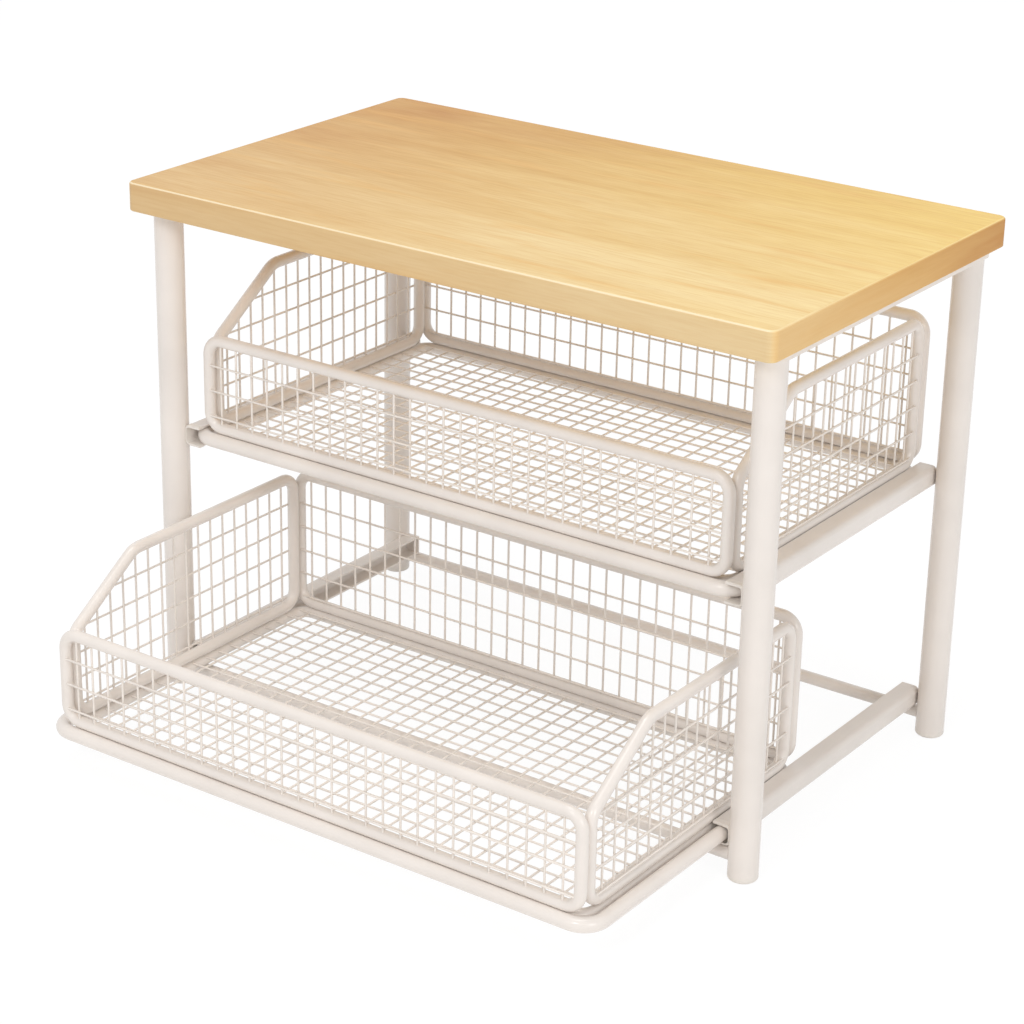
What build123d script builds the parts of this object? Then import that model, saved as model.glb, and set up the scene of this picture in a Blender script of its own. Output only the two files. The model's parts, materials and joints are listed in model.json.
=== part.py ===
from build123d import *
from math import sqrt
import os

# Counter shelf for a coffee machine: a wooden top on four tube legs, with two
# wire drawers that slide on C rails. Millimetres, +Z up, +Y towards the back.
# The model is drawn about the middle of the board and then moved along Y, so
# that the origin lies on the floor under the middle of the whole object, with
# the lower drawer standing open.

# Wooden top
board_width = 400.0
board_depth = 240.0
board_thickness = 16.0
board_corner_radius = 5.0
board_top_round = 1.6
board_bottom_round = 1.0
overall_height = 298.0

# Legs and feet
leg_diameter = 16.0
leg_wall = 1.2
leg_inset_side = 12.0
leg_inset_front = 20.0
leg_inset_rear = 18.0
foot_cap_height = 3.0
foot_cap_round = 2.0
foot_plug_depth = 12.0
foot_plug_clearance = 0.15

# Strips that carry the board on each pair of legs
strip_width = 20.0
strip_thickness = 3.0
strip_screw_pitch = 62.0
strip_screw_count = 3

# Pan-head wood screws
screw_shank_diameter = 3.6
screw_length = 12.0
screw_head_diameter = 8.0
screw_head_height = 2.4
screw_head_round = 1.0
screw_recess_width = 1.0
screw_recess_depth = 0.9
screw_recess_length = 4.4
screw_hole_clearance = 0.4
screw_pilot_clearance = 0.1

# Slide rails, one pair for each drawer
rail_width = 10.4
rail_wall = 1.2
rail_corner_radius = 3.0
low_rail_height = 21.0
rail_spacing = 132.0
rail_front_setback = 3.0
rail_rear_setback = 1.0
slide_clearance = 0.6
slide_side_clearance = 0.8

# Plastic collars at the front ends of the rails
collar_length = 4.0
collar_lip = 0.2
collar_front_round = 0.6

# Cross tubes between the left and right legs, below the lower rails
cross_tube_diameter = 7.0
cross_tube_wall = 1.0

# Sliding U frame of a drawer
slider_diameter = 8.0
slider_corner_radius = 12.0
slider_front_from_legs = 2.0
end_cap_diameter = 8.4
end_cap_length = 4.0
end_cap_round = 1.5
end_cap_stop_gap = 0.6

# Basket of a drawer: rod frames, all with the same rod
rod_diameter = 6.5
basket_depth = 196.0
front_frame_height = 50.6
rear_frame_height = 80.0
side_front_drop = 3.0
slant_run = 48.0
frame_corner_radius = 9.0
slant_corner_radius = 14.0
basket_side_clearance = 0.4

# Wire nets, each one holed sheet
net_thickness = 1.4
net_bar_width = 1.6
net_column_pitch = 32.0
net_row_pitch = 14.7
net_floor_pitch = 30.0
net_face_offset = 1.9

# Gap left where pieces are welded side by side
weld_gap = 0.1

# How far the lower drawer stands open
lower_drawer_open = 120.0

# Places worked out from the sizes above
leg_radius = leg_diameter / 2
rod_radius = rod_diameter / 2
slider_radius = slider_diameter / 2
leg_x = board_width / 2 - leg_inset_side
leg_front_y = -board_depth / 2 + leg_inset_front
leg_rear_y = board_depth / 2 - leg_inset_rear
board_bottom_z = overall_height - board_thickness
strip_bottom_z = board_bottom_z - strip_thickness
rail_outer_x = leg_x - leg_radius
rail_lip_x = rail_outer_x - rail_width
rail_height = slider_diameter + 2 * slide_clearance + 2 * rail_wall
rail_front_y = leg_front_y + rail_front_setback
rail_rear_y = leg_rear_y - rail_rear_setback
cross_tube_drop = rail_height / 2 + collar_lip + weld_gap + cross_tube_diameter / 2
slider_x = rail_outer_x - rail_wall - slide_side_clearance - slider_radius
slider_front_y = leg_front_y + slider_front_from_legs
slider_rear_y = rail_rear_y - rail_wall - end_cap_stop_gap - end_cap_length
basket_x = rail_lip_x - basket_side_clearance - rod_radius
frame_lift = rod_diameter + weld_gap
front_to_slider = sqrt((slider_radius + rod_radius + weld_gap) ** 2 - frame_lift ** 2)
front_frame_y = slider_front_y + front_to_slider
back_frame_y = front_frame_y + basket_depth
side_front_y = front_frame_y + rod_diameter + weld_gap
side_rear_y = back_frame_y - rod_diameter - weld_gap
floor_front_y = slider_front_y + slider_radius + weld_gap + rod_radius
net_edge = sqrt(rod_radius ** 2 - (net_face_offset - net_thickness / 2) ** 2) + weld_gap
origin_shift_y = -(slider_front_y - slider_radius - lower_drawer_open + board_depth / 2) / 2


def save(shape, node):
    """Write one node, moved to the origin of the whole object."""
    moved = Pos(0, origin_shift_y, 0) * shape
    export_step(moved, f"parts/{node}.step")


def swept_rod(points, radii, radius, closed):
    """Round rod along straight runs and tangent arcs."""
    path = FilletPolyline(*points, radius=radii, close=closed)
    section = Plane(origin=path @ 0, z_dir=path % 0) * Circle(radius)
    return sweep(section, path=path)


def tube(outer_diameter, wall, length):
    """Open tube along +Z, from z = 0."""
    ring = Circle(outer_diameter / 2) - Circle(outer_diameter / 2 - wall)
    return extrude(ring, amount=length)


def screw_places():
    """Y of each screw along a strip."""
    middle = (leg_front_y + leg_rear_y) / 2
    first = middle - strip_screw_pitch * (strip_screw_count - 1) / 2
    return [first + i * strip_screw_pitch for i in range(strip_screw_count)]


def top_board():
    """Wooden top with rounded corners, eased edges and pilot holes below."""
    plan = RectangleRounded(board_width, board_depth, board_corner_radius)
    board = extrude(Pos(0, 0, board_bottom_z) * plan, amount=board_thickness)
    board = fillet(board.faces().sort_by(Axis.Z)[-1].edges(), board_top_round)
    board = fillet(board.faces().sort_by(Axis.Z)[0].edges(), board_bottom_round)
    depth = screw_length - strip_thickness + 2 * screw_pilot_clearance
    pilot = Cylinder(screw_shank_diameter / 2 + screw_pilot_clearance, depth,
                     align=(Align.CENTER, Align.CENTER, Align.MIN))
    for side in (-1, 1):
        for y in screw_places():
            board -= Pos(side * leg_x, y, board_bottom_z) * pilot
    return board


def board_strip(side):
    """Flat steel strip that joins a front and a rear leg under the board."""
    length = leg_rear_y - leg_front_y + strip_width
    middle = (leg_front_y + leg_rear_y) / 2
    plan = Rot(0, 0, 90) * SlotOverall(length, strip_width)
    strip = extrude(Pos(side * leg_x, middle, strip_bottom_z) * plan, amount=strip_thickness)
    hole = Cylinder(screw_shank_diameter / 2 + screw_hole_clearance, strip_thickness,
                    align=(Align.CENTER, Align.CENTER, Align.MIN))
    for y in screw_places():
        strip -= Pos(side * leg_x, y, strip_bottom_z) * hole
    return strip


def board_screw():
    """Pan-head screw, its head's seat at z = 0 and its shank up along +Z."""
    down = (Align.CENTER, Align.CENTER, Align.MAX)
    up = (Align.CENTER, Align.CENTER, Align.MIN)
    head = Cylinder(screw_head_diameter / 2, screw_head_height, align=down)
    head = fillet(head.edges().sort_by(Axis.Z)[0], screw_head_round)
    slot = Box(screw_recess_length, screw_recess_width, screw_recess_depth, align=up)
    recess = slot + Rot(0, 0, 90) * slot
    head -= Pos(0, 0, -screw_head_height) * recess
    return head + Cylinder(screw_shank_diameter / 2, screw_length, align=up)


def leg():
    """Leg tube on its own axis, from the foot cap up to the strip."""
    length = strip_bottom_z - foot_cap_height
    return Pos(0, 0, foot_cap_height) * tube(leg_diameter, leg_wall, length)


def foot_cap():
    """Plastic foot: a rounded base as wide as the tube, with a plug inside it."""
    up = (Align.CENTER, Align.CENTER, Align.MIN)
    base = Cylinder(leg_radius, foot_cap_height, align=up)
    base = fillet(base.edges().sort_by(Axis.Z)[0], foot_cap_round)
    plug_radius = leg_radius - leg_wall - foot_plug_clearance
    plug = Pos(0, 0, foot_cap_height) * Cylinder(plug_radius, foot_plug_depth, align=up)
    plug = chamfer(plug.edges().sort_by(Axis.Z)[-1], leg_wall / 2)
    return base + plug


def half_rounded(width, height, radius):
    """Rectangle from the rail's lip line towards +X, rounded at its far corners."""
    shape = Pos(rail_lip_x + width / 2, 0) * Rectangle(width, height)
    return fillet(shape.vertices().sort_by(Axis.X)[-2:], radius)


def channel_profile(outer_height):
    """C section in XZ about z = 0, open towards -X, drawn for the right side."""
    outer = half_rounded(rail_width, outer_height, rail_corner_radius)
    inner_height = rail_height - 2 * rail_wall
    inner = half_rounded(rail_width - rail_wall, inner_height, rail_corner_radius - rail_wall)
    return outer, inner


def along_y(profile, start_y, end_y):
    """Section drawn in XY, stood up in XZ and carried from start_y to end_y."""
    standing = Plane(origin=(0, start_y, 0), x_dir=(1, 0, 0), z_dir=(0, -1, 0)) * profile
    return extrude(standing, amount=start_y - end_y)


def slide_rail():
    """Right-hand C rail about z = 0, closed at its rear end as a stop."""
    outer, inner = channel_profile(rail_height)
    channel = along_y(outer - inner, rail_front_y, rail_rear_y)
    end = along_y(outer, rail_rear_y - rail_wall, rail_rear_y)
    return channel + end


def rail_collar():
    """Right-hand plastic collar that butts on the front end of a rail."""
    outer, inner = channel_profile(rail_height + 2 * collar_lip)
    front_y = rail_front_y - collar_length
    block = along_y(outer, front_y, rail_front_y)
    rim = block.faces().sort_by(Axis.Y)[0].edges().sort_by(Axis.X)[1:]
    block = chamfer(rim, collar_front_round)
    return block - along_y(inner, front_y, rail_front_y)


def cross_tube(y):
    """Tube between the left and right legs at z = 0, its ends coped to the legs."""
    bar = Rot(0, 90, 0) * Pos(0, 0, -leg_x) * tube(cross_tube_diameter, cross_tube_wall, 2 * leg_x)
    bar = Pos(0, y, 0) * bar
    cope = Cylinder(leg_radius + weld_gap, 4 * cross_tube_diameter)
    for side in (-1, 1):
        bar -= Pos(side * leg_x, y, 0) * cope
    return bar


def slider_frame():
    """U rod that runs in both rails, its front run the pull of the drawer."""
    points = [(-slider_x, slider_rear_y, 0), (-slider_x, slider_front_y, 0),
              (slider_x, slider_front_y, 0), (slider_x, slider_rear_y, 0)]
    return swept_rod(points, slider_corner_radius, slider_radius, False)


def slider_end_caps():
    """Plastic cap on each rear end of the slider frame."""
    cap = Cylinder(end_cap_diameter / 2, end_cap_length,
                   align=(Align.CENTER, Align.CENTER, Align.MIN))
    cap = fillet(cap.edges().sort_by(Axis.Z)[-1], end_cap_round)
    cap = Rot(-90, 0, 0) * cap
    return Part() + [Pos(side * slider_x, slider_rear_y, 0) * cap for side in (-1, 1)]


def floor_frame():
    """Closed rod loop at the height of the slider frame, inside the U."""
    points = [(-basket_x, floor_front_y, 0), (basket_x, floor_front_y, 0),
              (basket_x, back_frame_y, 0), (-basket_x, back_frame_y, 0)]
    return swept_rod(points, frame_corner_radius, rod_radius, True)


def upright_frame(height, y):
    """Closed rod loop standing across the drawer, on top of the floor frame."""
    low = frame_lift
    points = [(-basket_x, y, low), (basket_x, y, low),
              (basket_x, y, low + height), (-basket_x, y, low + height)]
    return swept_rod(points, frame_corner_radius, rod_radius, True)


def side_outline():
    """Corners and radii of a side frame, as (y, z), from its low front corner."""
    low = frame_lift
    shoulder = low + front_frame_height - side_front_drop
    high = low + rear_frame_height
    corners = [(side_front_y, low), (side_rear_y, low), (side_rear_y, high),
               (side_front_y + slant_run, high), (side_front_y, shoulder)]
    radii = [frame_corner_radius, frame_corner_radius, frame_corner_radius,
             slant_corner_radius, frame_corner_radius]
    return corners, radii


def side_frame(side):
    """Closed rod loop along one side, low in front with a slanted rise."""
    corners, radii = side_outline()
    points = [(side * basket_x, y, z) for y, z in corners]
    return swept_rod(points, radii, rod_radius, True)


def holed_sheet(outline, low, high, column_pitch, row_pitch):
    """Flat net: an outline with a grid of cells cut out, bars between and around."""
    columns = max(1, round((high[0] - low[0]) / column_pitch))
    rows = max(1, round((high[1] - low[1]) / row_pitch))
    step_x = (high[0] - low[0] - net_bar_width) / columns
    step_y = (high[1] - low[1] - net_bar_width) / rows
    cell = Rectangle(step_x - net_bar_width, step_y - net_bar_width)
    first_x = low[0] + net_bar_width / 2 + step_x / 2
    first_y = low[1] + net_bar_width / 2 + step_y / 2
    places = [Pos(first_x + i * step_x, first_y + j * step_y)
              for i in range(columns) for j in range(rows)]
    inside = offset(outline, amount=-net_bar_width, kind=Kind.INTERSECTION)
    cells = Sketch() + [place * cell for place in places]
    return outline - (cells & inside)


def rounded_net(width, height, column_pitch, row_pitch):
    """Net for a rectangular frame, centred on the sketch's origin."""
    inner_radius = frame_corner_radius - net_edge
    outline = RectangleRounded(width - 2 * net_edge, height - 2 * net_edge, inner_radius)
    high = (width / 2 - net_edge, height / 2 - net_edge)
    low = (-high[0], -high[1])
    return holed_sheet(outline, low, high, column_pitch, row_pitch)


def upright_net(height, y):
    """Net on the front face of a standing frame."""
    sketch = rounded_net(2 * basket_x, height, net_column_pitch, net_row_pitch)
    middle_z = frame_lift + height / 2
    face_y = y - net_face_offset + net_thickness / 2
    plane = Plane(origin=(0, face_y, middle_z), x_dir=(1, 0, 0), z_dir=(0, -1, 0))
    return extrude(plane * sketch, amount=net_thickness)


def floor_net():
    """Net on top of the floor frame."""
    depth = back_frame_y - floor_front_y
    sketch = rounded_net(2 * basket_x, depth, net_floor_pitch, net_floor_pitch)
    middle_y = (floor_front_y + back_frame_y) / 2
    bottom_z = net_face_offset - net_thickness / 2
    return extrude(Pos(0, middle_y, bottom_z) * sketch, amount=net_thickness)


def side_net(side):
    """Net on the outer face of a side frame."""
    corners, radii = side_outline()
    path = FilletPolyline(*corners, radius=radii, close=True)
    outline = offset(make_face(path), amount=-net_edge)
    box = outline.bounding_box()
    sketch = holed_sheet(outline, (box.min.X, box.min.Y), (box.max.X, box.max.Y),
                         net_column_pitch, net_row_pitch)
    face_x = basket_x + net_face_offset - net_thickness / 2
    plane = Plane(origin=(face_x, 0, 0), x_dir=(0, 1, 0), z_dir=(1, 0, 0))
    net = extrude(plane * sketch, amount=net_thickness)
    return net if side > 0 else mirror(net, about=Plane.YZ)


def build_stand():
    """Everything that stays put: board, strips, legs, feet, rails and cross tubes."""
    save(top_board(), "top_board")
    sides = (("left", -1), ("right", 1))
    for name, side in sides:
        save(board_strip(side), f"board_strip_{name}")
    screw = board_screw()
    screws = [Pos(side * leg_x, y, strip_bottom_z) * screw
              for side in (-1, 1) for y in screw_places()]
    save(Part() + screws, "board_screws")
    for row, y in (("front", leg_front_y), ("rear", leg_rear_y)):
        for name, side in sides:
            save(Pos(side * leg_x, y, 0) * leg(), f"leg_{row}_{name}")
            save(Pos(side * leg_x, y, 0) * foot_cap(), f"foot_cap_{row}_{name}")
        save(Pos(0, 0, low_rail_height - cross_tube_drop) * cross_tube(y), f"cross_tube_{row}")
    for level, z in (("lower", low_rail_height), ("upper", low_rail_height + rail_spacing)):
        for piece, shape in (("rail", slide_rail()), ("rail_collar", rail_collar())):
            right = Pos(0, 0, z) * shape
            save(right, f"{level}_{piece}_right")
            save(mirror(right, about=Plane.YZ), f"{level}_{piece}_left")


def build_drawer(level, z, open_by):
    """One wire drawer, standing open by the given distance."""
    place = Pos(0, -open_by, z)
    pieces = {
        "slider_frame": slider_frame(),
        "slider_end_caps": slider_end_caps(),
        "floor_frame": floor_frame(),
        "floor_net": floor_net(),
        "front_frame": upright_frame(front_frame_height, front_frame_y),
        "front_net": upright_net(front_frame_height, front_frame_y),
        "back_frame": upright_frame(rear_frame_height, back_frame_y),
        "back_net": upright_net(rear_frame_height, back_frame_y),
        "left_side_frame": side_frame(-1),
        "left_side_net": side_net(-1),
        "right_side_frame": side_frame(1),
        "right_side_net": side_net(1),
    }
    for name, shape in pieces.items():
        save(place * shape, f"{level}_{name}")


os.makedirs("parts", exist_ok=True)
build_stand()
build_drawer("lower", low_rail_height, lower_drawer_open)
build_drawer("upper", low_rail_height + rail_spacing, 0.0)
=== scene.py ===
import json
import bpy
import numpy as np
from mathutils import Matrix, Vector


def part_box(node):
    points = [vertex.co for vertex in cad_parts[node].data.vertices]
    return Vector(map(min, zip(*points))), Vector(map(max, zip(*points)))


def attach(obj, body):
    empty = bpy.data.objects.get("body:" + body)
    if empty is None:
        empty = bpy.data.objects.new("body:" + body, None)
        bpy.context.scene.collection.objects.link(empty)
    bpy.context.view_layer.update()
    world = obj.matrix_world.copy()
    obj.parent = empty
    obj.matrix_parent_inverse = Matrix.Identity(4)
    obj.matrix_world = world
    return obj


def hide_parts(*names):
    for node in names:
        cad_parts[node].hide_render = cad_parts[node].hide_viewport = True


# Counter shelf for a coffee machine: a wooden top on a powder coated tube frame,
# with two wire drawers on C rails. Metres, +Z up, +Y towards the back, in the
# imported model's own frame. Pieces are placed from the boxes of what carries them.
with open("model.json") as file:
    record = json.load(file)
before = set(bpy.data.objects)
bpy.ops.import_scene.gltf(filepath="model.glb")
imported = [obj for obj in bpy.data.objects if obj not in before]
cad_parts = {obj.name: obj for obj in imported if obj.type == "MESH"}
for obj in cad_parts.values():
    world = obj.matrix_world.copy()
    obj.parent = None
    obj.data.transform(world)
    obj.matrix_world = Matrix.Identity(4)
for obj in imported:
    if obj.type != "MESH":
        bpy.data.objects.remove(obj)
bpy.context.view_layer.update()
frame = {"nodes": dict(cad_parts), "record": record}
nodes = frame["nodes"]
mm = 0.001

# Rod frames of a drawer
rod_radius = 3.25 * mm
side_front_drop = 3.0 * mm
slant_run = 48.0 * mm

# Welded wire nets on the rod frames. A height is a wire's middle over the rods' middle,
# and a lap is how far its end goes over a rod. The two tuples give a wire's domed end:
# the way in, in radii, and the share of the full radius there.
wire_radius = 0.61 * mm
wire_sides = 8
wire_end_reach = (0, 0.35, 0.8)
wire_end_share = (0.55, 0.85, 1.0)
column_height = 1.25 * mm
column_lap = 0.7 * mm
crossing_height = 2.36 * mm
crossing_lap = 1.3 * mm
column_pitch = 10.8 * mm
column_count = 30
side_column_pitch = 10.25 * mm
side_column_count = 17
row_pitch = 14.6 * mm
row_margin = 0.9 * mm
front_row_margin = 3.9 * mm
front_row_count = 3
rear_row_count = 5
floor_row_pitch = 10.3 * mm
floor_row_count = 18
floor_rear_margin = 2.2 * mm
place_scatter = 0.10 * mm

# Wooden top
board_corner_radius = 5.0 * mm
board_top_round = 1.4 * mm
board_bottom_round = 1.0 * mm
corner_steps = 14
round_steps = 8
edge_map_shift = 1.0
bottom_map_shift = 2.0

# Wood figure: strength of the bands, fibres and pores, and how far the streaks of honey
# draw out the rims of the two browner patches near the rear left corner
band_strength = 0.24
fibre_strength = 0.38
pore_strength = 0.16
shade_reach_share = 0.7
shade_streaks = 0.4
fibre_depth = 0.2 * mm
pore_depth = 0.1 * mm
wood_relief = 0.08

# Powder coat: clouds a little darker and lighter, in 0 to 255, and the orange peel
coat_darker = 4
coat_lighter = 3
coat_gloss_swing = 0.04
peel_strength = 0.10
peel_depth = 0.2 * mm

# Floor and room: what lights the object, and the white that the eye sees in their place
floor_size = 8.0
floor_brightness = 0.96
floor_glow = 1.045
floor_glow_share = 0.88
room_strength = 0.54
shelf_middle = (0, 0, 0.14)

# Camera, fitted to the edges of the board, legs and drawers in the photograph
camera_place = (0.7912, -1.1188, 0.7025)
camera_azimuth = 35.02
camera_elevation = 22.46
camera_roll = 1.13
camera_lens = 97.4
camera_sensor = 36

# Sockets of Blender's colour Mix node
mix_share, mix_first, mix_second, mix_result = 0, 6, 7, 2


def new_mesh(name, points, faces, smooth=True):
    """A linked mesh object from an array of points and a list of faces."""
    mesh = bpy.data.meshes.new(name)
    mesh.from_pydata(points.reshape(-1, 3).tolist(), [], faces)
    mesh.polygons.foreach_set("use_smooth", np.full(len(mesh.polygons), smooth))
    mesh.validate()
    piece = bpy.data.objects.new(name, mesh)
    bpy.context.scene.collection.objects.link(piece)
    return piece


def tubes(paths, radii, sides, binormal):
    """Round tubes along many paths at once.

    paths is (tubes, rings, 3) and radii (rings). With t the path's direction, b the
    fixed binormal and n = b x t, ring k of a tube is path_k + r_k (cos a n + sin a b),
    and the tube ends in two flat discs."""
    count, rings, _ = paths.shape
    tangent = np.gradient(paths, axis=1)
    tangent /= np.linalg.norm(tangent, axis=2, keepdims=True)
    across = np.broadcast_to(binormal, tangent.shape)
    normal = np.cross(across, tangent)
    normal /= np.linalg.norm(normal, axis=2, keepdims=True)
    across = np.cross(tangent, normal)
    angle = np.arange(sides) * 2 * np.pi / sides
    ring = (np.cos(angle)[:, None] * normal[:, :, None, :]
            + np.sin(angle)[:, None] * across[:, :, None, :])
    points = paths[:, :, None, :] + np.asarray(radii)[None, :, None, None] * ring
    tube_no, ring_no, side_no = np.meshgrid(
        np.arange(count), np.arange(rings - 1), np.arange(sides), indexing="ij")
    next_side = (side_no + 1) % sides

    def index(r, s):
        return ((tube_no * rings + r) * sides + s).ravel()

    quads = np.stack([index(ring_no, side_no), index(ring_no, next_side),
                      index(ring_no + 1, next_side), index(ring_no + 1, side_no)], axis=1)
    faces = quads.tolist()
    for tube in range(count):
        first = tube * rings * sides
        last = first + (rings - 1) * sides
        faces.append(list(range(first + sides - 1, first - 1, -1)))
        faces.append(list(range(last, last + sides)))
    return points, faces


def join_shapes(shapes):
    """One point array and face list from several."""
    all_points = []
    all_faces = []
    offset = 0
    for points, faces in shapes:
        flat = points.reshape(-1, 3)
        all_points.append(flat)
        all_faces += [[i + offset for i in face] for face in faces]
        offset += len(flat)
    return np.concatenate(all_points), all_faces


def wire_layer(starts, ends, outward, height):
    """Wires of a net, side by side, from starts to ends at a height over the rods' plane.

    A wire is start + s d + height n, with d its direction and n outward. Its ends are
    domed: it grows to its full radius in three rings."""
    starts = np.asarray(starts, float)
    ends = np.asarray(ends, float)
    length = np.linalg.norm(ends - starts, axis=1)[:, None]
    direction = (ends - starts) / length
    lead = np.array(wire_end_reach) * wire_radius
    along = np.concatenate([np.tile(lead, (len(starts), 1)),
                            length - lead[::-1]], axis=1)
    paths = (starts[:, None, :] + along[..., None] * direction[:, None, :]
             + height * np.asarray(outward, float))
    taper = np.array(wire_end_share)
    radii = np.concatenate([taper, taper[::-1]]) * wire_radius
    binormal = np.cross(direction[0], outward)
    return tubes(paths, radii, wire_sides, binormal)


def spaced(first, pitch, count, seed):
    """Places at an even pitch, each off by a hair as in a welded net."""
    scatter = np.random.default_rng(seed).uniform(-1, 1, count) * place_scatter
    return first + pitch * np.arange(count) + scatter


def to_space(origin, u_axis, v_axis, u, v):
    """Points origin + u times the first axis + v times the second."""
    u, v = np.broadcast_arrays(np.asarray(u, float), np.asarray(v, float))
    return origin + u[..., None] * u_axis + v[..., None] * v_axis


def crossed_layers(origin, u_axis, v_axis, outward, us, v_ends, vs, u_ends):
    """Two layers of wires: columns along v at each u, and crossings along u at each v,
    welded on their outer side. v_ends and u_ends hold where they start and end."""
    column_starts, column_ends = (to_space(origin, u_axis, v_axis, us, v) for v in v_ends)
    crossing_starts, crossing_ends = (to_space(origin, u_axis, v_axis, u, vs) for u in u_ends)
    return [wire_layer(column_starts, column_ends, outward, column_height),
            wire_layer(crossing_starts, crossing_ends, outward, crossing_height)]


def upright_net(level, end, rows, bottom_margin, seed):
    """Net on the front face of a front or back frame, columns behind rows."""
    low, high = (np.array(c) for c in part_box(f"{level}_{end}_frame"))
    origin = np.array([0, (low[1] + high[1]) / 2, 0])
    x_axis = np.array([1.0, 0, 0])
    z_axis = np.array([0, 0, 1.0])
    outward = np.array([0, -1.0, 0])
    inner_x = high[0] - 2 * rod_radius
    low_z = low[2] + 2 * rod_radius
    high_z = high[2] - 2 * rod_radius
    xs = spaced(-(column_count - 1) / 2 * column_pitch, column_pitch, column_count, seed)
    zs = spaced(low_z + bottom_margin, row_pitch, rows, seed + 1)
    layers = crossed_layers(origin, x_axis, z_axis, outward,
                            xs, (low_z - column_lap, high_z + column_lap),
                            zs, (-inner_x - crossing_lap, inner_x + crossing_lap))
    finish_net(f"{level}_{end}_wires", level, f"{level}_{end}_net", layers)


def side_net(level, side, seed):
    """Net on the outer face of a side frame, its top and front cut to the slant."""
    low, high = (np.array(c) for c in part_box(f"{level}_{side}_side_frame"))
    front, rear = low[1] + rod_radius, high[1] - rod_radius
    bottom, top = low[2] + rod_radius, high[2] - rod_radius
    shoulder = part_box(f"{level}_front_frame")[1][2] - rod_radius - side_front_drop
    rise = top - shoulder
    slope = rise / slant_run
    slant = np.hypot(rise, slant_run)
    column_seat = rod_radius - column_lap
    crossing_seat = rod_radius - crossing_lap
    origin = np.array([(low[0] + high[0]) / 2, 0, 0])
    y_axis = np.array([0, 1.0, 0])
    z_axis = np.array([0, 0, 1.0])
    outward = np.array([1.0 if side == "right" else -1.0, 0, 0])
    margin = (rear - front - 2 * rod_radius - (side_column_count - 1) * side_column_pitch) / 2
    ys = spaced(front + rod_radius + margin, side_column_pitch, side_column_count, seed)
    slant_z = shoulder + (ys - front) * slope - column_seat * slant / slant_run
    tops = np.minimum(slant_z, top - column_seat)
    zs = spaced(bottom + rod_radius + row_margin, row_pitch, rear_row_count, seed + 1)
    slant_y = front + (zs - shoulder) / slope + crossing_seat * slant / rise
    starts = np.maximum(slant_y, front + crossing_seat)
    layers = crossed_layers(origin, y_axis, z_axis, outward,
                            ys, (bottom + column_seat, tops),
                            zs, (starts, rear - crossing_seat))
    finish_net(f"{level}_{side}_wires", level, f"{level}_{side}_side_net", layers)


def floor_net(level, seed):
    """Net on top of the floor frame, cross wires over the long ones."""
    low, high = (np.array(c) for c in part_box(f"{level}_floor_frame"))
    origin = np.array([0, 0, (low[2] + high[2]) / 2])
    x_axis = np.array([1.0, 0, 0])
    y_axis = np.array([0, 1.0, 0])
    outward = np.array([0, 0, 1.0])
    inner_x = high[0] - 2 * rod_radius
    front, rear = low[1] + 2 * rod_radius, high[1] - 2 * rod_radius
    xs = spaced(-(column_count - 1) / 2 * column_pitch, column_pitch, column_count, seed)
    first_y = rear - floor_rear_margin - (floor_row_count - 1) * floor_row_pitch
    ys = spaced(first_y, floor_row_pitch, floor_row_count, seed + 1)
    layers = crossed_layers(origin, x_axis, y_axis, outward,
                            xs, (front - column_lap, rear + column_lap),
                            ys, (-inner_x - crossing_lap, inner_x + crossing_lap))
    finish_net(f"{level}_floor_wires", level, f"{level}_floor_net", layers)


def finish_net(name, level, net_node, layers):
    """The net as one piece, in place of its node."""
    points, faces = join_shapes(layers)
    net = new_mesh(name, points, faces)
    net.data.materials.append(wire_coat)
    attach(net, f"{level}_drawer")
    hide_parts(net_node)


def rounded_ring(half_x, half_y, radius):
    """Points round a rounded rectangle: straight sides joined by quarter circles."""
    angle = np.linspace(0, np.pi / 2, corner_steps)
    ring = []
    for quarter, (sx, sy) in enumerate(((1, 1), (-1, 1), (-1, -1), (1, -1))):
        turn = angle + quarter * np.pi / 2
        centre = np.array([sx * (half_x - radius), sy * (half_y - radius)])
        ring.append(centre + radius * np.stack([np.cos(turn), np.sin(turn)], axis=1))
    return np.concatenate(ring)


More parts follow.
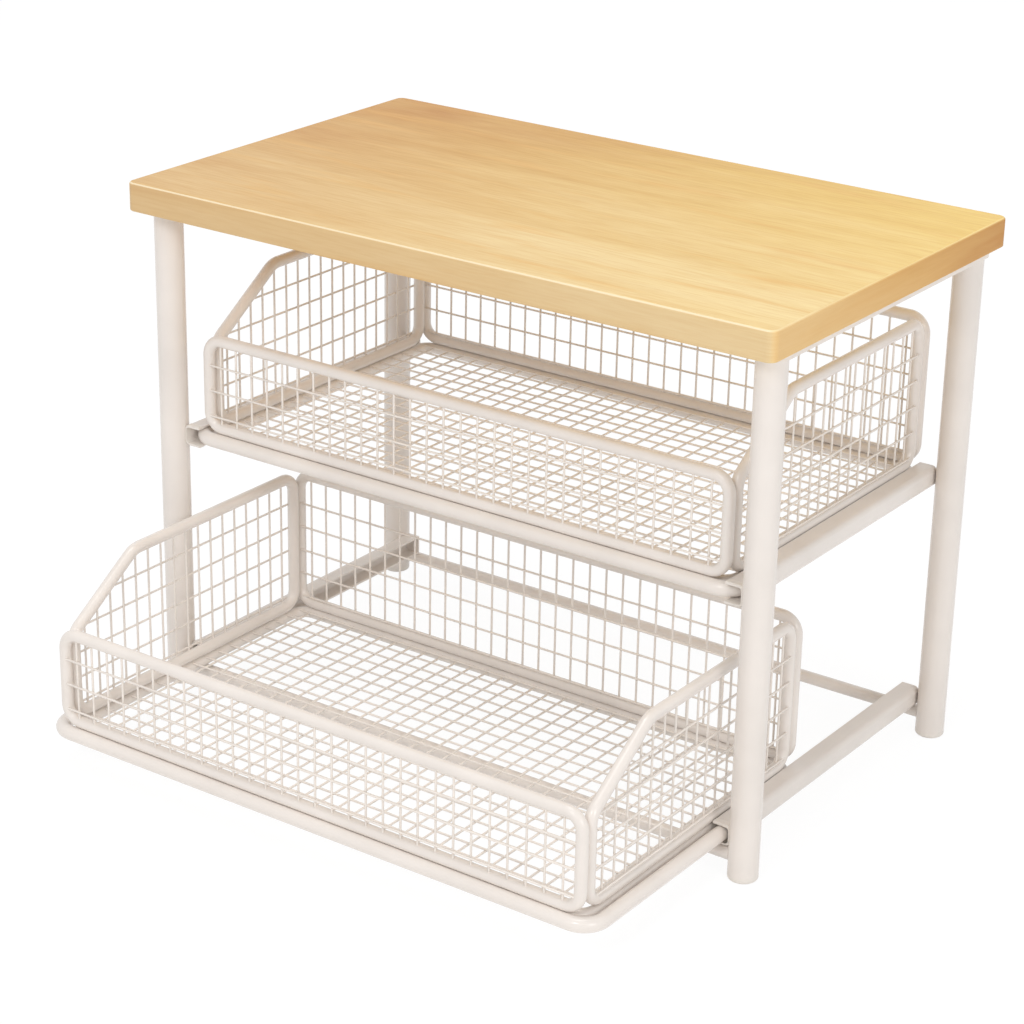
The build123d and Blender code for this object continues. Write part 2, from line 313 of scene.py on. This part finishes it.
def board_piece():
    """Wooden top: an edge profile carried round a rounded rectangle.

    The profile goes from the top face over a quarter circle, down the edge and round
    a smaller quarter circle to the bottom face. Its inset d from the outline shrinks
    the rectangle and its corner radius by d. The grain map holds x and y on the two
    faces, and the way round the board and down its edge on the edge band."""
    low, high = (np.array(c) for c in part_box("top_board"))
    centre = (low + high) / 2
    half = (high - low) / 2
    angle = np.linspace(0, np.pi / 2, round_steps)
    top_inset = board_top_round * (1 - np.sin(angle))
    top_z = high[2] - board_top_round * (1 - np.cos(angle))
    bottom_inset = board_bottom_round * (1 - np.cos(angle))
    bottom_z = low[2] + board_bottom_round * (1 - np.sin(angle))
    inset = np.concatenate([top_inset, bottom_inset])
    height = np.concatenate([top_z, bottom_z])
    rings = [rounded_ring(half[0] - d, half[1] - d, board_corner_radius - d) for d in inset]
    sides = len(rings[0])
    flat = np.array(rings) + centre[:2]
    heights = np.broadcast_to(height[:, None, None], flat.shape[:2] + (1,))
    points = np.concatenate([flat, heights], axis=2)
    ring_no, side_no = np.meshgrid(np.arange(len(inset) - 1), np.arange(sides), indexing="ij")
    after = (side_no + 1) % sides
    upper, lower = ring_no * sides, (ring_no + 1) * sides
    quads = np.stack([upper + side_no, lower + side_no, lower + after, upper + after], axis=2)
    last = (len(inset) - 1) * sides
    caps = [list(range(sides)), list(range(last + sides - 1, last - 1, -1))]
    board = new_mesh("wooden_top", points, quads.reshape(-1, 4).tolist() + caps)
    outline = np.array(rings[round_steps])
    step = np.linalg.norm(np.roll(outline, -1, axis=0) - outline, axis=1)
    way = np.concatenate([[0], np.cumsum(step)])
    down = np.concatenate([[0], np.cumsum(np.hypot(np.diff(inset), np.diff(height)))])
    band = np.stack([
        np.stack([way[side_no], down[ring_no]], axis=2),
        np.stack([way[side_no], down[ring_no + 1]], axis=2),
        np.stack([way[side_no + 1], down[ring_no + 1]], axis=2),
        np.stack([way[side_no + 1], down[ring_no]], axis=2)], axis=2).reshape(-1, 2)
    band[:, 1] += edge_map_shift
    top_map = flat[0]
    bottom_map = flat[-1][::-1] + np.array([0, bottom_map_shift])
    grain = board.data.uv_layers.new(name="grain")
    grain_map = np.concatenate([band, top_map, bottom_map])
    grain.data.foreach_set("uv", grain_map.astype(np.float32).ravel())
    board.data.materials.append(wood)
    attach(board, "stand")
    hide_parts("top_board")


def srgb(red, green, blue):
    """Linear colour from a 0 to 255 one."""
    c = np.array([red, green, blue]) / 255
    return tuple(np.where(c <= 0.04045, c / 12.92, ((c + 0.055) / 1.055) ** 2.4)) + (1.0,)


class Finish:
    """A material under construction: its node tree and short ways to add nodes."""

    def __init__(self, name):
        self.material = bpy.data.materials.new(name)
        self.material.use_nodes = True
        self.tree = self.material.node_tree
        self.shader = self.tree.nodes["Principled BSDF"]

    def add(self, kind, **inputs):
        node = self.tree.nodes.new(kind)
        for key, value in inputs.items():
            if hasattr(node, key):
                setattr(node, key, value)
            else:
                node.inputs[key.replace("_", " ").title()].default_value = value
        return node

    def link(self, source, target):
        self.tree.links.new(source, target)

    def scaled(self, source, scale):
        """source times a vector."""
        node = self.add("ShaderNodeVectorMath", operation="MULTIPLY")
        self.link(source, node.inputs[0])
        node.inputs[1].default_value = scale
        return node.outputs[0]

    def noise(self, source, scale, detail, roughness=0.5, distortion=0.0):
        """Noise of the given detail over source scaled by a vector."""
        node = self.add("ShaderNodeTexNoise", scale=1.0, detail=detail,
                        roughness=roughness, distortion=distortion)
        self.link(self.scaled(source, scale), node.inputs["Vector"])
        return node.outputs["Fac"]

    def ramp(self, source, stops):
        """Colours by position."""
        node = self.add("ShaderNodeValToRGB")
        ramp = node.color_ramp
        while len(ramp.elements) < len(stops):
            ramp.elements.new(0.5)
        for element, (place, colour) in zip(ramp.elements, stops):
            element.position = place
            element.color = colour
        self.link(source, node.inputs["Fac"])
        return node.outputs["Color"]

    def mix(self, kind, share, first, second):
        """Colour mix, where share, first and second are sockets or values."""
        node = self.add("ShaderNodeMix", data_type="RGBA", blend_type=kind)
        for place, value in ((mix_share, share), (mix_first, first), (mix_second, second)):
            socket = node.inputs[place]
            if isinstance(value, bpy.types.NodeSocket):
                self.link(value, socket)
            else:
                socket.default_value = value
        return node.outputs[mix_result]

    def bump(self, source, strength, distance):
        """Bump from a height into the shader."""
        node = self.add("ShaderNodeBump", strength=strength, distance=distance)
        self.link(source, node.inputs["Height"])
        previous = self.shader.inputs["Normal"]
        if previous.is_linked:
            self.link(previous.links[0].from_socket, node.inputs["Normal"])
        self.link(node.outputs["Normal"], previous)


def grey(value):
    """Opaque grey."""
    return (value, value, value, 1.0)


def wood_finish(board_centre):
    """Golden lacquered wood with painted light and shade: a deeper, more orange colour at the rear
    that pales towards the front and the right, painted as the light falls, with soft clouds,
    honey streaks, two browner patches near the rear left corner and faint fibres along the
    grain. The edge bands carry painted light and shade: the front and back faces are painted
    greyer, and the ends are darker, more orange end grain with painted shade that deepens
    towards the rear. The upper arris has a painted highlight, faint on the right end. A tone
    is slope times the way from the board's centre, plus the clouds times their share,
    centred on a half."""
    finish = Finish("golden_wood")
    where = finish.add("ShaderNodeUVMap", uv_map="grain").outputs["UV"]
    clouds = finish.noise(where, (3.6, 26.0, 1.0), 4.0, 0.55, 0.2)
    from_centre = finish.add("ShaderNodeVectorMath", operation="SUBTRACT")
    finish.link(finish.add("ShaderNodeTexCoord").outputs["Object"], from_centre.inputs[0])
    from_centre.inputs[1].default_value = board_centre
    place = finish.add("ShaderNodeSeparateXYZ")
    finish.link(from_centre.outputs[0], place.inputs[0])
    # Painted light: each tone is a gradient across the board, X rising to the right and Y to the
    # rear, plus the random clouds
    painted_light_and_cloud_tones = []
    for axis, slope, cloud_share in (("X", 2.4, 0.9), ("Y", 3.4, -0.9)):
        shift = finish.add("ShaderNodeMath", operation="MULTIPLY_ADD")
        finish.link(place.outputs[axis], shift.inputs[0])
        shift.inputs[1].default_value = slope
        shift.inputs[2].default_value = 0.5 - 0.5 * cloud_share
        tone = finish.add("ShaderNodeMath", operation="MULTIPLY_ADD")
        finish.link(clouds, tone.inputs[0])
        tone.inputs[1].default_value = cloud_share
        finish.link(shift.outputs[0], tone.inputs[2])
        painted_light_and_cloud_tones.append(tone.outputs[0])
    # Painted light and shade: the X tone pales both colours towards the right; the rear colour,
    # mixed in by the Y tone, is a painted deeper, more orange shade at the rear
    front = finish.ramp(painted_light_and_cloud_tones[0], [(0.0, srgb(233, 196, 136)), (1.0, srgb(255, 231, 176))])
    rear = finish.ramp(painted_light_and_cloud_tones[0], [(0.0, srgb(212, 153, 62)), (1.0, srgb(254, 219, 124))])
    share = finish.ramp(painted_light_and_cloud_tones[1], [(0.0, grey(0.0)), (0.85, grey(1.0))])
    colour = finish.mix("MIX", share, front, rear)
    honey = finish.noise(where, (9.0, 74.0, 3.0), 3.0, 0.5, 0.25)
    honey_share = finish.ramp(honey, [(0.54, grey(0.0)), (0.74, grey(0.55))])
    colour = finish.mix("MIX", honey_share, colour, srgb(238, 184, 96))
    for middle, reach, strength, tint in rear_left_brown_patches:
        offset = finish.add("ShaderNodeVectorMath", operation="SUBTRACT")
        finish.link(from_centre.outputs[0], offset.inputs[0])
        offset.inputs[1].default_value = (*middle, 0)
        distance = finish.add("ShaderNodeVectorMath", operation="LENGTH")
        scale = (shade_reach_share / reach[0], shade_reach_share / reach[1], 0)
        stretched = finish.scaled(offset.outputs[0], scale)
        finish.link(stretched, distance.inputs[0])
        streaked = finish.add("ShaderNodeMath", operation="MULTIPLY_ADD")
        finish.link(honey, streaked.inputs[0])
        streaked.inputs[1].default_value = shade_streaks
        finish.link(distance.outputs["Value"], streaked.inputs[2])
        shade = finish.ramp(streaked.outputs[0], [(0.2, grey(strength)), (0.5, grey(strength / 2)),
                                                  (0.9, grey(0.0))])
        colour = finish.mix("MIX", shade, colour, tint)
    bands = finish.noise(where, (5.0, 100.0, 1.0), 3.0, 0.55, 0.4)
    colour = finish.mix("MULTIPLY", band_strength, colour,
                        finish.ramp(bands, [(0.36, srgb(240, 228, 212)), (0.6, grey(1.0))]))
    fibres = finish.noise(where, (38.0, 620.0, 1.0), 4.0, 0.6, 0.3)
    colour = finish.mix("MULTIPLY", fibre_strength, colour,
                        finish.ramp(fibres, [(0.36, srgb(234, 217, 192)), (0.58, grey(1.0))]))
    pores = finish.noise(where, (60.0, 2400.0, 1.0), 2.0, 0.5)
    pore_mask = finish.ramp(pores, [(0.62, grey(0.0)), (0.74, grey(1.0))])
    pore_share = finish.mix("MULTIPLY", 1.0, pore_mask, grey(pore_strength))
    colour = finish.mix("MIX", pore_share, colour, srgb(208, 160, 100))
    outward = finish.add("ShaderNodeSeparateXYZ")
    geometry = finish.add("ShaderNodeNewGeometry")
    finish.link(geometry.outputs["True Normal"], outward.inputs[0])
    # End grain colour, darker and more orange, with painted shade that deepens it towards the rear
    end_grain_and_painted_shade = finish.ramp(painted_light_and_cloud_tones[1], [(0.15, srgb(236, 192, 130)), (0.52, srgb(221, 165, 96)),
                                      (0.84, srgb(184, 104, 28))])
    # Painted light: the front and back faces are greyed; the ends take the end grain colour with
    # its painted shade
    for axis, stops, tint in (("Y", [(0.5, grey(0.0)), (0.9, grey(0.50))], srgb(214, 182, 142)),
                              ("X", [(0.5, grey(0.0)), (0.9, grey(0.75))], end_grain_and_painted_shade)):
        turned = finish.add("ShaderNodeMath", operation="ABSOLUTE")
        finish.link(outward.outputs[axis], turned.inputs[0])
        colour = finish.mix("MIX", finish.ramp(turned.outputs[0], stops), colour, tint)
    # Painted highlight: a pale line along the upper arris, faint on the right end
    painted_arris_highlight = finish.ramp(outward.outputs["Z"], [(0.42, grey(0.0)), (0.56, grey(0.85)),
                                              (0.88, grey(0.85)), (0.97, grey(0.0))])
    highlight_fade_to_right = finish.ramp(outward.outputs["X"], [(0.15, grey(1.0)), (0.6, grey(0.15))])
    arris_highlight_share = finish.mix("MULTIPLY", 1.0, painted_arris_highlight, highlight_fade_to_right)
    colour = finish.mix("MIX", arris_highlight_share, colour, srgb(254, 238, 204))
    finish.link(colour, finish.shader.inputs["Base Color"])
    gloss = finish.ramp(fibres, [(0.3, grey(0.42)), (0.7, grey(0.35))])
    finish.link(gloss, finish.shader.inputs["Roughness"])
    finish.shader.inputs["Specular IOR Level"].default_value = 0.06
    finish.shader.inputs["Coat Weight"].default_value = 0.22
    finish.shader.inputs["Coat Roughness"].default_value = 0.12
    finish.bump(fibres, wood_relief, fibre_depth)
    finish.bump(pore_mask, wood_relief, -pore_depth)
    return finish.material


def coat_finish(name, colour, roughness, peel):
    """Powder coat: a warm white with faint clouds and a fine orange peel."""
    finish = Finish(name)
    where = finish.add("ShaderNodeTexCoord").outputs["Object"]
    clouds = finish.noise(where, (28.0, 28.0, 28.0), 3.0)
    tint = finish.ramp(clouds, [(0.3, srgb(*(c - coat_darker for c in colour))),
                                (0.7, srgb(*(c + coat_lighter for c in colour)))])
    finish.link(tint, finish.shader.inputs["Base Color"])
    skin = finish.noise(where, (peel, peel, peel), 2.0, 0.45)
    gloss = finish.ramp(skin, [(0.3, grey(roughness + coat_gloss_swing)),
                               (0.7, grey(roughness - coat_gloss_swing))])
    finish.link(gloss, finish.shader.inputs["Roughness"])
    finish.bump(skin, peel_strength, peel_depth)
    return finish.material


def steel_finish():
    """Zinc plated steel with a fine turned texture."""
    finish = Finish("zinc_steel")
    where = finish.add("ShaderNodeTexCoord").outputs["Object"]
    grain = finish.noise(where, (900.0, 900.0, 200.0), 3.0)
    finish.link(finish.ramp(grain, [(0.3, grey(0.50)), (0.7, grey(0.66))]),
                finish.shader.inputs["Base Color"])
    finish.shader.inputs["Metallic"].default_value = 1.0
    finish.link(finish.ramp(grain, [(0.3, grey(0.38)), (0.7, grey(0.28))]),
                finish.shader.inputs["Roughness"])
    finish.bump(grain, 0.1, 0.0001)
    return finish.material


board_low, board_high = (np.array(c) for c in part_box("top_board"))
# Browner patches near the rear left corner: middle from the board's centre, reach, strength and
# colour
rear_left_brown_patches = (((-0.160, 0.106), (0.040, 0.026), 0.85, srgb(200, 132, 12)),
                    ((-0.092, 0.098), (0.110, 0.034), 0.42, srgb(208, 146, 60)))
wood = wood_finish(tuple((board_low + board_high) / 2))
steel_coat = coat_finish("powder_coat", (240, 232, 225), 0.21, 1100.0)
wire_coat = coat_finish("wire_coat", (245, 237, 229), 0.26, 1600.0)
plastic = coat_finish("moulded_plastic", (237, 230, 222), 0.42, 2400.0)
screw_steel = steel_finish()
finish_of_slot = {"powder_coated_steel": steel_coat, "coated_wire": wire_coat,
                  "moulded_plastic": plastic, "screw_steel": screw_steel, "wood_top": wood}
for part in frame["record"]["subparts"]:
    if part["node"] in nodes:
        mesh = nodes[part["node"]].data
        mesh.materials.clear()
        mesh.materials.append(finish_of_slot[part["material_slot"]])

board_piece()
for number, level in enumerate(("lower", "upper")):
    seed = 100 * number
    upright_net(level, "front", front_row_count, front_row_margin, seed + 11)
    upright_net(level, "back", rear_row_count, row_margin, seed + 21)
    side_net(level, "left", seed + 31)
    side_net(level, "right", seed + 41)
    floor_net(level, seed + 51)

# Floor, lights and camera
floor_points = np.array([(-1, -1, 0), (1, -1, 0), (1, 1, 0), (-1, 1, 0)], float) * floor_size / 2
floor = new_mesh("floor", floor_points, [[0, 1, 2, 3]], smooth=False)


def show_white(tree, lit, white, share, output):
    """Lets camera, glossy and transmission rays see the white shader by a share, over the
    lit one, and all other rays the lit one alone: their factor is the largest of the
    three kinds of ray, each 0 or 1, times the share."""
    path = tree.nodes.new("ShaderNodeLightPath")
    seen = path.outputs["Is Camera Ray"]
    for other in ("Is Glossy Ray", "Is Transmission Ray"):
        either = tree.nodes.new("ShaderNodeMath")
        either.operation = "MAXIMUM"
        tree.links.new(seen, either.inputs[0])
        tree.links.new(path.outputs[other], either.inputs[1])
        seen = either.outputs[0]
    part = tree.nodes.new("ShaderNodeMath")
    part.operation = "MULTIPLY"
    tree.links.new(seen, part.inputs[0])
    part.inputs[1].default_value = share
    blend = tree.nodes.new("ShaderNodeMixShader")
    tree.links.new(part.outputs[0], blend.inputs[0])
    tree.links.new(lit.outputs[0], blend.inputs[1])
    tree.links.new(white.outputs[0], blend.inputs[2])
    tree.links.new(blend.outputs[0], tree.nodes[output].inputs["Surface"])


floor_finish = bpy.data.materials.new("pale_floor")
floor_finish.use_nodes = True
tree = floor_finish.node_tree
lit = tree.nodes["Principled BSDF"]
lit.inputs["Base Color"].default_value = grey(floor_brightness)
lit.inputs["Roughness"].default_value = 0.9
glow = tree.nodes.new("ShaderNodeEmission")
glow.inputs["Color"].default_value = grey(1.0)
glow.inputs["Strength"].default_value = floor_glow
show_white(tree, lit, glow, floor_glow_share, "Material Output")
floor.data.materials.append(floor_finish)

world = bpy.data.worlds.new("studio")
bpy.context.scene.world = world
world.use_nodes = True
tree = world.node_tree
room = tree.nodes["Background"]
room.inputs["Color"].default_value = grey(1.0)
room.inputs["Strength"].default_value = room_strength
white = tree.nodes.new("ShaderNodeBackground")
white.inputs["Color"].default_value = grey(1.0)
white.inputs["Strength"].default_value = 1.0
show_white(tree, room, white, 1.0, "World Output")


def facing(place, target):
    """Rotation that turns -Z from place to target, with +Y upwards."""
    back = np.array(place, float) - np.array(target, float)
    back /= np.linalg.norm(back)
    right = np.cross([0, 0, 1.0], back)
    right /= np.linalg.norm(right)
    up = np.cross(back, right)
    return Matrix(np.stack([right, up, back], axis=1).tolist()).to_4x4()


def soft_light(name, place, target, size, power):
    """Square area lamp aimed at a point."""
    lamp = bpy.data.lights.new(name, "AREA")
    lamp.size = size
    lamp.energy = power
    holder = bpy.data.objects.new(name, lamp)
    holder.matrix_world = Matrix.Translation(place) @ facing(place, target)
    bpy.context.scene.collection.objects.link(holder)


soft_light("overhead", (-0.15, -0.3, 3.4), shelf_middle, 1.4, 28)
soft_light("front", (0.3, -2.7, 2.2), shelf_middle, 0.8, 20)
soft_light("right", (3.0, -1.4, 1.5), shelf_middle, 0.9, 22)

turn, rise, tilt = np.radians([camera_azimuth, camera_elevation, camera_roll])
forward = np.array([-np.sin(turn) * np.cos(rise), np.cos(turn) * np.cos(rise), -np.sin(rise)])
level_right = np.array([np.cos(turn), np.sin(turn), 0])
level_up = np.cross(level_right, forward)
right = level_right * np.cos(tilt) + level_up * np.sin(tilt)
up = level_up * np.cos(tilt) - level_right * np.sin(tilt)
lens = bpy.data.cameras.new("camera")
lens.lens = camera_lens
lens.sensor_width = camera_sensor
lens.sensor_fit = "HORIZONTAL"
camera = bpy.data.objects.new("camera", lens)
camera.matrix_world = Matrix.Translation(camera_place) @ Matrix(
    np.stack([right, up, -forward], axis=1).tolist()).to_4x4()
bpy.context.scene.collection.objects.link(camera)
bpy.context.scene.camera = camera
bpy.context.scene.view_settings.view_transform = "Standard"
